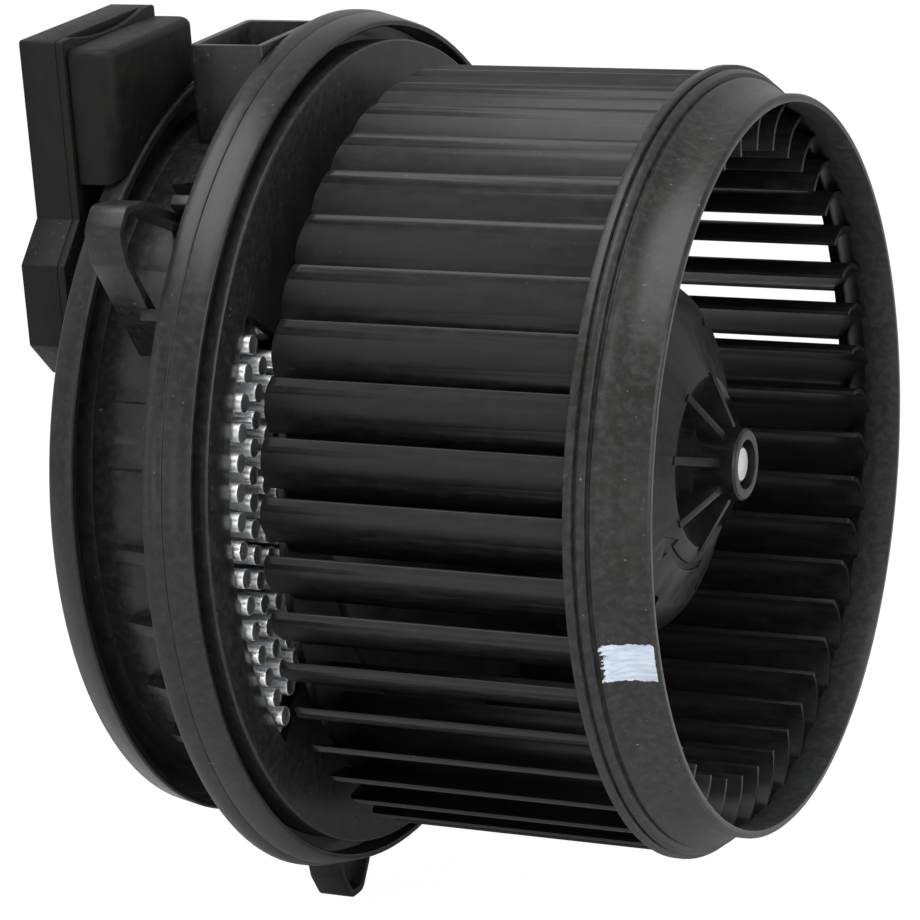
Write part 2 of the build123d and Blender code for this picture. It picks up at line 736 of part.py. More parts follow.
def motor_housing():
    """Drum behind the flange, with its outer ribs and its screw columns."""
    body = turned(
        (WEB_FRONT_X, DRUM_IN_R),
        (WEB_FRONT_X, DRUM_R),
        (DRUM_REAR_X, DRUM_END_R),
        (DRUM_REAR_X, DRUM_END_R - DRUM_WALL),
    )
    rib_x = WEB_REAR_X - WELD_GAP
    rib = radial_plate(
        2.6,
        (rib_x, DRUM_R - 0.6),
        (rib_x, DRUM_R + 5.0),
        (rib_x - RIB_LENGTH, DRUM_R + 2.4),
        (rib_x - RIB_LENGTH, DRUM_R - DRUM_DRAFT),
    )
    socket_y = (SOCKET_Y[0] + SOCKET_Y[1]) / 2
    socket_angle = math.degrees(math.acos(-socket_y / DRUM_R))
    socket_half = math.degrees(math.asin((SOCKET_Y[1] - socket_y + 5.0) / DRUM_R))
    ribs = []
    for angle in spread(RIB_COUNT, RIB_PHASE):
        clear_of_loops = all(abs((angle - place + 180) % 360 - 180) > 13 for place in LOOP_ANGLES)
        clear_of_socket = abs((angle - socket_angle + 180) % 360 - 180) > socket_half
        if clear_of_loops and clear_of_socket:
            ribs.append(at_angle(rib, angle))
    column = rod(DRUM_REAR_X, DRUM_REAR_X + 14, COLUMN_R, place=COLUMN_CIRCLE_R)
    tie = block((DRUM_REAR_X, DRUM_REAR_X + 14), (-DRUM_IN_R - 0.4, -COLUMN_CIRCLE_R - 1.7), (-1.2, 1.2))
    bore = rod(DRUM_REAR_X - 1, DRUM_REAR_X + 12, SCREW_R, place=COLUMN_CIRCLE_R)
    return body + ribs + around(column + tie, cover_screw_angles()) - around(bore, cover_screw_angles())


def cover_screw_angles():
    return spread(4, 20)


def cover_rib_angles():
    """Between the screws, and clear of the controller."""
    return [angle for angle in spread(16, 8.75) if not 30 < angle < 135]


def housing_gasket():
    inner = PLATE_R - 1.0
    outer = REGISTER_R - 2.4
    return turned((WEB_FRONT_X, inner), (FLANGE_REAR_X, inner), (FLANGE_REAR_X, outer), (WEB_FRONT_X, outer))


def rear_cover():
    """Dished back with a proud rim, a locating ring, stiffening ribs and screw columns."""
    plate_front = COVER_REAR_X + COVER_T
    rim_x = DRUM_REAR_X - 0.1
    body = turned(
        (COVER_REAR_X, 0),
        (plate_front, 0),
        (plate_front, COVER_R - 1.0 - COVER_T),
        (rim_x, COVER_R - COVER_T),
        (rim_x, COVER_R - 0.4),
        (rim_x - 0.4, COVER_R),
        (COVER_REAR_X + 0.6, COVER_R - 1.0),
        (COVER_REAR_X, COVER_R - 1.6),
    )
    ring_in = DRUM_END_R - DRUM_WALL
    ring = turned(
        (plate_front - 0.5, ring_in), (DRUM_REAR_X, ring_in), (DRUM_REAR_X, DRUM_END_R), (plate_front - 0.5, DRUM_END_R)
    )
    raised = turned(
        (COVER_REAR_X - 1.6, 19), (COVER_REAR_X + 0.5, 19), (COVER_REAR_X + 0.5, 21.5), (COVER_REAR_X - 1.6, 21.5)
    )
    rib = radial_plate(
        1.8,
        (COVER_REAR_X + 0.5, 20.5),
        (COVER_REAR_X - 1.4, 21),
        (COVER_REAR_X - 1.4, COVER_R - 9),
        (COVER_REAR_X + 0.5, COVER_R - 6),
    )
    column = rod(plate_front - 0.5, DRUM_REAR_X, COLUMN_R, place=COLUMN_CIRCLE_R)
    hole = rod(COVER_REAR_X - 1, DRUM_REAR_X + 1, SCREW_R + SCREW_GAP, place=COLUMN_CIRCLE_R)
    controller_hole = rod(COVER_REAR_X - 1, plate_front + 1, SCREW_R)
    body = body + ring + raised + around(rib, cover_rib_angles())
    body = body + around(column, cover_screw_angles()) - around(hole, cover_screw_angles())
    return body - [Pos(0, y, z) * controller_hole for y, z in controller_screw_places()]


def screw(head_x, tip_x, heading=-1):
    """Pan head screw along X, with the head on the side that heading gives."""
    shank = rod(min(head_x, tip_x), max(head_x, tip_x), SCREW_R - 0.02)
    head_end = head_x + heading * SCREW_HEAD_T
    head = rod(min(head_x, head_end), max(head_x, head_end), SCREW_HEAD_R)
    outer_ring = head.faces().sort_by(Axis.X)[0 if heading < 0 else -1].edges()
    head = fillet(outer_ring, 0.8)
    cross = block((head_end - 0.9, head_end + 0.9), (-1.6, 1.6), (-0.35, 0.35))
    return shank + head - cross - Rot(90, 0, 0) * cross


def cover_screws():
    one = Pos(0, -COLUMN_CIRCLE_R, 0) * screw(COVER_REAR_X, DRUM_REAR_X + 11)
    return solids_of(around(one, cover_screw_angles()))


def motor_screws():
    one = Pos(0, -22, 0) * screw(PLATE_REAR_X - 3.0, PLATE_X)
    return solids_of(around(one, spread(4, 45)))


def board_screws():
    one = Pos(0, -POST_CIRCLE_R, 0) * screw(BOARD_REAR_X, BOARD_X + 7)
    return solids_of(around(one, post_angles()))


# ---------------------------------------------------------------- circuit board

def circuit_board():
    hole = rod(BOARD_REAR_X - 1, BOARD_X + 1, SCREW_R + SCREW_GAP, place=POST_CIRCLE_R)
    board = turned((BOARD_REAR_X, 14), (BOARD_X, 14), (BOARD_X, BOARD_R), (BOARD_REAR_X, BOARD_R))
    return board - around(hole, post_angles())


def power_transistors():
    """Flat packages clamped between the heat sink and the board."""
    body = block((BOARD_X, SINK_REAR_X), (-BOARD_R + 2.5, -BOARD_R + 11.5), (-4.6, 4.6))
    body = fillet(body.edges().filter_by(Axis.X), 0.6)
    return solids_of(around(body, [-30, -18, -6, 6, 18, 30]))


def capacitors():
    """Three smoothing capacitors standing on the board's back."""
    cans = []
    for angle in (118, 140, 162):
        can = rod(BOARD_REAR_X - 17.5, BOARD_REAR_X, 6.2, place=36.0, angle=angle)
        cans.append(fillet(can.edges().filter_by(GeomType.CIRCLE), 0.9))
    return solids_of(cans)


def filter_choke():
    """Wound ring core on edge."""
    core = Rot(0, 90, 0) * Torus(8.0, 3.4)
    return at_angle(Pos(BOARD_REAR_X - 3.4, -38, 0) * core, -120)


# ---------------------------------------------------------------- controller

def box_outline(inset=0.0):
    """Controller outline in the plane of Y and Z: a narrow top over a wider waist."""
    top_half = BOX_TOP_HALF - inset
    waist_half = BOX_WAIST_HALF - inset
    slope = BOX_WAIST_HALF - BOX_TOP_HALF
    turn = 0.414 * inset
    points = [
        (-top_half, BOX_TOP - inset),
        (-top_half, BOX_WAIST_TOP + slope + turn),
        (-waist_half, BOX_WAIST_TOP - turn),
        (-waist_half, BOX_WAIST_BOTTOM + turn),
        (-waist_half + slope, BOX_BOTTOM + inset),
    ]
    points += [(-y, z) for y, z in reversed(points)]
    return make_face(Polyline(*[(y + BOX_CENTRE_Y, z) for y, z in points], close=True))


def box_slab(x0, x1, inset=0.0):
    return Pos(x0, 0, 0) * extrude(Plane.YZ * box_outline(inset), x1 - x0)


def controller_screw_places():
    return [(BOX_CENTRE_Y - 18, 44.0), (BOX_CENTRE_Y + 18, 44.0), (BOX_CENTRE_Y, 64.0)]


def top_scoop():
    """Shallow arched recess across the front of the controller's top."""
    depth = 1.7
    half = BOX_TOP_HALF - 4
    radius = (half * half + depth * depth) / (2 * depth)
    roll = rod(BOX_FRONT_X - 3.0, BOX_FRONT_X + 1, radius)
    return Pos(0, BOX_CENTRE_Y, BOX_TOP - depth + radius) * roll


def controller_tub():
    """Deep rear half of the controller case."""
    seat = BOX_FRONT_X - BOX_WALL
    body = box_slab(BOX_REAR_X, seat)
    body = fillet(body.edges().filter_by(Axis.X), 0.8)
    body = body - box_slab(BOX_REAR_X + BOX_WALL, seat + 1, BOX_WALL)
    bosses = [Pos(0, y, z) * rod(BOX_REAR_X + 0.5, seat, 3.2) for y, z in controller_screw_places()]
    holes = [Pos(0, y, z) * rod(BOX_REAR_X - 1, seat + 1, SCREW_R + SCREW_GAP) for y, z in controller_screw_places()]
    return body + bosses - holes


def controller_lid():
    """Front plate of the controller case, on three pads against the rear cover."""
    lid = box_slab(BOX_FRONT_X - BOX_WALL, BOX_FRONT_X)
    lid = fillet(lid.edges().filter_by(Axis.X), 0.8)
    pads = [Pos(0, y, z) * rod(BOX_FRONT_X - 0.5, COVER_REAR_X, 4.0) for y, z in controller_screw_places()]
    holes = [Pos(0, y, z) * rod(BOX_FRONT_X - 5, COVER_REAR_X + 1, SCREW_R + 0.05) for y, z in controller_screw_places()]
    return lid + pads - holes - top_scoop()


def controller_screws():
    one = screw(BOX_REAR_X, COVER_REAR_X + COVER_T)
    return solids_of([Pos(0, y, z) * one for y, z in controller_screw_places()])


def control_board():
    x0 = BOX_REAR_X + BOX_WALL + CONTROL_STANDOFF
    board = box_slab(x0, x0 + BOARD_T, BOX_WALL + 0.3)
    return board - [Pos(0, y, z) * rod(x0 - 1, x0 + 3, 3.4) for y, z in controller_screw_places()]


def control_relays():
    """Two relays and a driver package on the control board."""
    x0 = BOX_REAR_X + BOX_WALL + CONTROL_STANDOFF + BOARD_T
    x1 = BOX_FRONT_X - BOX_WALL - 0.8
    left = BOX_CENTRE_Y - 13
    first = block((x0, x1), (left, left + 12), (72, 88))
    second = block((x0, x1), (left + 14, left + 26), (72, 88))
    driver = block((x0, x0 + 2.4), (BOX_CENTRE_Y - 8, BOX_CENTRE_Y + 8), (36, 50))
    return solids_of([fillet(piece.edges(), 0.5) for piece in (first, second, driver)])


def module_cap():
    """Rounded cap in front of the controller's top that follows the cover's rim."""
    x0 = BOX_FRONT_X + CAP_GAP
    half = BOX_TOP_HALF - 0.9
    wall = BOX_WALL
    y = (BOX_CENTRE_Y - half, BOX_CENTRE_Y + half)
    body = block((x0, CAP_FRONT_X), y, (50, CAP_TOP))
    front_edges = body.edges().filter_by(Axis.Z).sort_by(Axis.X)[-2:]
    body = fillet(front_edges, 4.0)
    top_edges = body.faces().sort_by(Axis.Z)[-1].edges().filter_by(lambda edge: edge.center().X > x0 + 0.1)
    body = fillet(top_edges, 1.8)
    space_y = (y[0] + wall, y[1] - wall)
    space = block((x0 - 1, CAP_FRONT_X - wall), space_y, (40, CAP_TOP - wall))
    floor = rod(x0 - 2, CAP_FRONT_X + 1, COVER_R + CAP_GAP + wall)
    return body - (space - floor) - rod(x0 - 1, CAP_FRONT_X + 1, COVER_R + CAP_GAP)


def cap_tabs():
    """Snap tabs that hold the cap on the controller's front plate."""
    x0 = BOX_FRONT_X
    half = BOX_TOP_HALF - 4
    tabs = []
    for y in (BOX_CENTRE_Y - half, BOX_CENTRE_Y + half):
        tabs.append(block((x0, x0 + 4.0), (y - 1.0, y + 1.0), (CAP_TOP - 7, CAP_TOP - 3)))
    return solids_of(tabs)


def terminal_carrier():
    """Insulating block in the floor of the harness socket."""
    gap = SOCKET_WALL + WELD_GAP
    x = (SOCKET_X[0] + gap, SOCKET_X[1] - gap)
    y = (SOCKET_Y[0] + gap, SOCKET_Y[1] - gap)
    return block(x, y, (SOCKET_FLOOR, SOCKET_FLOOR + 2.5))


def harness_terminals():
    """Row of flat blades that the connector pushes on to."""
    middle_x = (SOCKET_X[0] + SOCKET_X[1]) / 2
    span = SOCKET_Y[1] - SOCKET_Y[0] - 9
    blades = []
    for number in range(TERMINAL_COUNT):
        y = SOCKET_Y[0] + 4.5 + span * number / (TERMINAL_COUNT - 1)
        blade = block((middle_x - 1.5, middle_x + 1.5), (y - 0.4, y + 0.4), (SOCKET_FLOOR + 2.5, SOCKET_TOP - 4))
        blades.append(chamfer(blade.edges().filter_by(Axis.X).sort_by(Axis.Z)[-2:], 0.25))
    return solids_of(blades)


PARTS = [
    mounting_flange, motor_housing, housing_rim, bayonet_loops, harness_socket, rear_cover, housing_gasket, heat_sink,
    controller_tub, controller_lid, module_cap, cap_tabs, controller_screws, control_board, control_relays,
    terminal_carrier, harness_terminals, circuit_board, power_transistors, capacitors, filter_choke,
    stator_support, stator_core, stator_windings, winding_insulators,
    bearing_outer_races, bearing_shields, preload_washer, motor_screws, board_screws, cover_screws,
    bearing_balls, bearing_cages,
    wheel_hub, hub_flare, wheel_disc, wheel_blades, inlet_ring, hub_bush, motor_shaft, shaft_clip, rotor_cup, rotor_magnets,
    bearing_inner_races,
]

os.makedirs("parts", exist_ok=True)
for part in PARTS:
    shape = part()
    export_step(shape, f"parts/{part.__name__}.step")
    print(part.__name__, len(shape.solids()), round(shape.volume, 1))
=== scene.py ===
import bpy
import json
import math
from mathutils import Matrix, Vector


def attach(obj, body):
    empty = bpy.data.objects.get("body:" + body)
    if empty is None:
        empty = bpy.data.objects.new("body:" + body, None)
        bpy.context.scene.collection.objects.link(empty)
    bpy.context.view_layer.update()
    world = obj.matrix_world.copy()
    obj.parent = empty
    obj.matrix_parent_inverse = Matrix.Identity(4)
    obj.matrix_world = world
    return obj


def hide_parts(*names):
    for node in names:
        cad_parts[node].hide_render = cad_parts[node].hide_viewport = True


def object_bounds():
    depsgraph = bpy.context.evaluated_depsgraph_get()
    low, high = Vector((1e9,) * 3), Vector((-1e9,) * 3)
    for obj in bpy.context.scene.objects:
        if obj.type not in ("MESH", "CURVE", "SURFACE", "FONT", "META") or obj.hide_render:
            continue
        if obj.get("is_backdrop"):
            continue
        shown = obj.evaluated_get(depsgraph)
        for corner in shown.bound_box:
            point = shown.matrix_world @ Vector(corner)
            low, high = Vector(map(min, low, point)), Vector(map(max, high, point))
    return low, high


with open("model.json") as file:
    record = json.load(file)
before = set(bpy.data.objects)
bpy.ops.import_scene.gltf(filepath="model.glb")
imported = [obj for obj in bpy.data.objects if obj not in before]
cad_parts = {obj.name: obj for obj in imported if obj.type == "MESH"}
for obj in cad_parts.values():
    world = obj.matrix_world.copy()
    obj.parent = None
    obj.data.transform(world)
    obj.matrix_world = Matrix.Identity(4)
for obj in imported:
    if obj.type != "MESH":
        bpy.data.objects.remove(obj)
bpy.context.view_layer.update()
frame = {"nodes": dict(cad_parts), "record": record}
nodes = frame["nodes"]
print("frame loaded:", len(nodes), "CAD nodes")


# shader tools

class Wire:
    def __init__(self, tree, socket):
        self.tree = tree
        self.socket = socket

    def maths(self, operation, first, second=None):
        node = self.tree.nodes.new("ShaderNodeMath")
        node.operation = operation
        for slot, value in enumerate((first, second)):
            if isinstance(value, Wire):
                self.tree.links.new(value.socket, node.inputs[slot])
            elif value is not None:
                node.inputs[slot].default_value = value
        return Wire(self.tree, node.outputs[0])

    def __add__(self, other):
        return self.maths("ADD", self, other)

    def __sub__(self, other):
        return self.maths("SUBTRACT", self, other)

    def __mul__(self, other):
        return self.maths("MULTIPLY", self, other)

    def __truediv__(self, other):
        return self.maths("DIVIDE", self, other)

    def __gt__(self, other):
        return self.maths("GREATER_THAN", self, other)

    def __lt__(self, other):
        return self.maths("LESS_THAN", self, other)

    def __radd__(self, other):
        return self.maths("ADD", other, self)

    def __rsub__(self, other):
        return self.maths("SUBTRACT", other, self)

    def ramp(self, low, high):  # 0 below low, 1 above high, and a straight line between
        step = (self - low) / (high - low)
        return step.maths("MAXIMUM", step.maths("MINIMUM", step, 1.0), 0.0)


class Finish:
    def __init__(self, owner, shaderName="Principled BSDF"):
        owner.use_nodes = True
        self.owner = owner
        self.tree = owner.node_tree
        self.shader = self.tree.nodes[shaderName]

    def node(self, kind, settings=None, inputs=None, output=0):
        node = self.tree.nodes.new(kind)
        for key, value in (settings or {}).items():
            setattr(node, key, value)
        for key, value in (inputs or {}).items():
            if isinstance(value, Wire):
                self.tree.links.new(value.socket, node.inputs[key])
            else:
                node.inputs[key].default_value = value
        return Wire(self.tree, node.outputs[output])

    def place(self, scale=(1, 1, 1)):
        spot = self.node("ShaderNodeTexCoord", output="Object")
        return self.node("ShaderNodeMapping", None, {"Vector": spot, "Scale": scale})

    def noise(self, scale, detail=3.0, stretch=(1, 1, 1), rough=0.5):
        inputs = {"Vector": self.place(stretch), "Scale": scale, "Detail": detail, "Roughness": rough}
        return self.node("ShaderNodeTexNoise", None, inputs)

    def axes(self):
        spot = self.node("ShaderNodeTexCoord", output="Object")
        return [self.node("ShaderNodeSeparateXYZ", None, {"Vector": spot}, axis) for axis in "XYZ"]

    def mixed(self, mask, first, second):
        inputs = {"Factor": mask, 6: first, 7: second}
        return self.node("ShaderNodeMix", {"data_type": "RGBA"}, inputs, 2)

    def bump(self, height, strength, distance, normal=None):
        inputs = {"Height": height, "Strength": strength, "Distance": distance}
        if normal:
            inputs["Normal"] = normal
        return self.node("ShaderNodeBump", None, inputs)

    def feed(self, socket, wire):
        self.tree.links.new(wire.socket, self.shader.inputs[socket])

    def fixed(self, socket, value):
        self.shader.inputs[socket].default_value = value


greenLift = 1.05  # the plastics lean a little to green


def grey(level, warm):
    return (level * (1 + warm), level * greenLift, level * (1 - warm), 1.0)


# moulded plastics

moulding = {
    "mottleRange": (0.42, 0.68), "filmRange": (0.45, 0.75), "patchRange": (0.45, 0.62), "patchShare": 0.45,
    # the two inside shares set how much painted light the ring's inner surface gets, the second one
    # following the dust film
    "speckSoftness": 0.05, "dustRough": 0.2, "insideLightShare": 0.45, "insideFilm": 0.5,
    "swellScale": 55.0, "swellLevel": 0.25, "swellDepth": 0.0012, "grainDepth": 0.0001,
}


def plasticFinish(name, look):
    finish = Finish(bpy.data.materials.new(name))
    mottle = finish.noise(look["mottleScale"], 6.0, rough=0.62).ramp(*moulding["mottleRange"])
    film = finish.noise(look["filmScale"], 5.0, look["filmStretch"], 0.6).ramp(*moulding["filmRange"])
    speckEnd = look["speckCut"] + moulding["speckSoftness"]
    specks = finish.noise(look["speckScale"], 2.0).ramp(look["speckCut"], speckEnd)
    patchNoise = finish.noise(look["mottleScale"] * moulding["patchShare"], 3.0)
    dust = specks * patchNoise.ramp(*moulding["patchRange"]) * look["speckLevel"]
    dark, light = (grey(look[shade], look["warm"]) for shade in ("dark", "light"))
    colour = finish.mixed(mottle * look["mottleLevel"], dark, light)
    colour = finish.mixed(film * look["filmLevel"], colour, look["filmColour"])
    colour = finish.mixed(dust, colour, look["dustColour"])
    if look.get("insideRadius"):  # painted light: the inside of the ring is lightened towards a grey, mottled by the dust film
        along, deep, high = finish.axes()
        inside = deep * deep + high * high < look["insideRadius"] ** 2
        share = moulding["insideLightShare"] + film * moulding["insideFilm"]
        colour = finish.mixed(inside * share, colour, look["insideLightAndDust"])
    if look.get("dab"):
        colour = paintDab(finish, colour, look["dab"])
    finish.feed("Base Color", colour)
    rough = look["rough"] + (mottle - 0.5) * look["roughVary"] + film * look["filmRough"]
    finish.feed("Roughness", rough + dust * moulding["dustRough"])
    grain = finish.noise(look["grainScale"], 2.0)
    wave = finish.noise(moulding["swellScale"], 2.0)
    swell = finish.bump(wave, moulding["swellLevel"], moulding["swellDepth"])
    finish.feed("Normal", finish.bump(grain, look["grainLevel"], moulding["grainDepth"], swell))
    finish.fixed("Specular IOR Level", look["gloss"])
    return finish.owner


def paintDab(finish, colour, dab):  # a brushed mark across the ring's cone
    along, deep, high = finish.axes()
    ragged = (finish.noise(dab["edgeScale"], 5.0, rough=0.7) - 0.5) * dab["edgeSpread"]
    streak = finish.noise(dab["streakScale"], 4.0, dab["streakStretch"]).ramp(*dab["streakRange"])
    frayed = ragged * dab["fray"] + (streak - 0.5) * dab["streakSpread"]
    mask = (along + frayed > dab["from"]) * (along + ragged * dab["toFray"] < dab["to"])
    mask = mask * (high + ragged * dab["lowFray"] > dab["low"])
    mask = mask * (high + ragged * dab["highFray"] < dab["high"]) * (deep < 0.0)
    cover = dab["cover"] + streak * (1 - dab["cover"])
    return finish.mixed(mask * cover, colour, dab["colour"])


plastics = {
    "housing_plastic": {
        "dark": 0.0085, "light": 0.014, "warm": 0.02, "mottleScale": 420.0, "mottleLevel": 0.7,
        "filmScale": 620.0, "filmStretch": (1, 1, 1), "filmLevel": 0.13,
        "filmColour": (0.088, 0.096, 0.094, 1), "filmRough": 0.08,
        "speckScale": 900.0, "speckCut": 0.72, "speckLevel": 0.4, "dustColour": (0.26, 0.28, 0.29, 1),
        "rough": 0.34, "roughVary": 0.05, "grainScale": 1500.0, "grainLevel": 0.12, "gloss": 0.26,
    },
    "wheel_plastic": {
        "dark": 0.0050, "light": 0.009, "warm": 0.03, "mottleScale": 420.0, "mottleLevel": 0.7,
        "filmScale": 600.0, "filmStretch": (0.3, 1, 1), "filmLevel": 0.12,
        "filmColour": (0.057, 0.060, 0.058, 1), "filmRough": 0.08,
        "speckScale": 1300.0, "speckCut": 0.74, "speckLevel": 0.4, "dustColour": (0.26, 0.27, 0.28, 1),
        "rough": 0.38, "roughVary": 0.05, "grainScale": 1800.0, "grainLevel": 0.10, "gloss": 0.25,
    },
    "ring_plastic": {
        "dark": 0.0090, "light": 0.017, "warm": 0.03, "mottleScale": 420.0, "mottleLevel": 0.8,
        "filmScale": 650.0, "filmStretch": (0.8, 1, 1), "filmLevel": 0.24,
        "filmColour": (0.085, 0.090, 0.088, 1), "filmRough": 0.08,
        "speckScale": 1200.0, "speckCut": 0.72, "speckLevel": 0.6, "dustColour": (0.30, 0.31, 0.32, 1),
        "rough": 0.36, "roughVary": 0.05, "grainScale": 1800.0, "grainLevel": 0.10, "gloss": 0.24,
        # the inside radius and colour paint light onto the ring's inner surface, mottled by the dust film
        "insideRadius": 0.0765, "insideLightAndDust": (0.045, 0.048, 0.047, 1),
        "dab": {
            "from": 0.0808, "to": 0.0905, "low": -0.0200, "high": -0.0120, "colour": (0.50, 0.58, 0.67, 1),
            "edgeScale": 520.0, "edgeSpread": 0.0026, "fray": 1.4,
            "toFray": 0.3, "lowFray": 0.7, "highFray": 0.8, "cover": 0.70,
            "streakScale": 700.0, "streakStretch": (0.3, 1, 2),
            "streakRange": (0.30, 0.62), "streakSpread": 0.0006,
        },
    },
    "controller_plastic": {
        "dark": 0.0045, "light": 0.010, "warm": 0.03, "mottleScale": 60.0, "mottleLevel": 0.5,
        "filmScale": 300.0, "filmStretch": (1, 1, 1), "filmLevel": 0.10,
        "filmColour": (0.04, 0.04, 0.037, 1), "filmRough": 0.10,
        "speckScale": 1000.0, "speckCut": 0.70, "speckLevel": 0.35, "dustColour": (0.26, 0.26, 0.24, 1),
        "rough": 0.50, "roughVary": 0.08, "grainScale": 1300.0, "grainLevel": 0.45, "gloss": 0.14,
    },
    "gasket_rubber": {
        "dark": 0.012, "light": 0.020, "warm": 0.0, "mottleScale": 120.0, "mottleLevel": 0.6,
        "filmScale": 50.0, "filmStretch": (1, 1, 1), "filmLevel": 0.12,
        "filmColour": (0.06, 0.06, 0.06, 1), "filmRough": 0.1,
        "speckScale": 1300.0, "speckCut": 0.7, "speckLevel": 0.3, "dustColour": (0.2, 0.2, 0.2, 1),
        "rough": 0.75, "roughVary": 0.08, "grainScale": 1600.0, "grainLevel": 0.5, "gloss": 0.35,
    },
    "package_plastic": {
        "dark": 0.014, "light": 0.026, "warm": 0.0, "mottleScale": 150.0, "mottleLevel": 0.5,
        "filmScale": 80.0, "filmStretch": (1, 1, 1), "filmLevel": 0.05,
        "filmColour": (0.06, 0.06, 0.06, 1), "filmRough": 0.05,
        "speckScale": 1500.0, "speckCut": 0.72, "speckLevel": 0.3, "dustColour": (0.2, 0.2, 0.2, 1),
        "rough": 0.6, "roughVary": 0.1, "grainScale": 2500.0, "grainLevel": 0.5, "gloss": 0.4,
    },
    "capacitor_sleeve": {
        "dark": 0.012, "light": 0.022, "warm": -0.3, "mottleScale": 90.0, "mottleLevel": 0.5,
        "filmScale": 60.0, "filmStretch": (1, 1, 1), "filmLevel": 0.08,
        "filmColour": (0.08, 0.08, 0.1, 1), "filmRough": 0.05,
        "speckScale": 1500.0, "speckCut": 0.72, "speckLevel": 0.3, "dustColour": (0.2, 0.2, 0.22, 1),
        "rough": 0.28, "roughVary": 0.08, "grainScale": 900.0, "grainLevel": 0.1, "gloss": 0.5,
    },
    "carrier_plastic": {
        "dark": 0.32, "light": 0.42, "warm": 0.10, "mottleScale": 90.0, "mottleLevel": 0.6,
        "filmScale": 60.0, "filmStretch": (1, 1, 1), "filmLevel": 0.10,
        "filmColour": (0.3, 0.26, 0.2, 1), "filmRough": 0.05,
        "speckScale": 1200.0, "speckCut": 0.7, "speckLevel": 0.3, "dustColour": (0.2, 0.18, 0.15, 1),
        "rough": 0.5, "roughVary": 0.08, "grainScale": 1500.0, "grainLevel": 0.2, "gloss": 0.45,
    },
    "magnet_ferrite": {
        "dark": 0.03, "light": 0.055, "warm": 0.0, "mottleScale": 200.0, "mottleLevel": 0.8,
        "filmScale": 90.0, "filmStretch": (1, 1, 1), "filmLevel": 0.1,
        "filmColour": (0.1, 0.1, 0.1, 1), "filmRough": 0.1,
        "speckScale": 1600.0, "speckCut": 0.66, "speckLevel": 0.5, "dustColour": (0.2, 0.2, 0.21, 1),
        "rough": 0.7, "roughVary": 0.1, "grainScale": 1800.0, "grainLevel": 0.8, "gloss": 0.4,
    },
}


# metals

metalwork = {
    "stainRange": (0.40, 0.66), "pitRange": (0.62, 0.70), "pitDulling": 0.3,
    "lineDepth": 0.00008, "pitDepth": 0.00006,
}


def metalFinish(name, look):
    finish = Finish(bpy.data.materials.new(name))
    stain = finish.noise(look["stainScale"], 5.0, rough=0.6).ramp(*metalwork["stainRange"])
    lines = finish.noise(look["lineScale"], 3.0, look["lineStretch"], 0.6)
    pits = finish.noise(look["pitScale"], 2.0).ramp(*metalwork["pitRange"])
    colour = finish.mixed(stain * look["stainLevel"], look["colour"], look["stainColour"])
    colour = finish.mixed(pits * look["pitLevel"], colour, look["pitColour"])
    finish.feed("Base Color", colour)
    rough = look["rough"] + stain * look["roughVary"] + (lines - 0.5) * look["lineRough"]
    finish.feed("Roughness", rough)
    finish.feed("Metallic", look["metallic"] - pits * look["pitLevel"] * metalwork["pitDulling"])
    scored = finish.bump(lines, look["lineLevel"], metalwork["lineDepth"])
    finish.feed("Normal", finish.bump(pits, look["pitLevel"], metalwork["pitDepth"], scored))
    return finish.owner


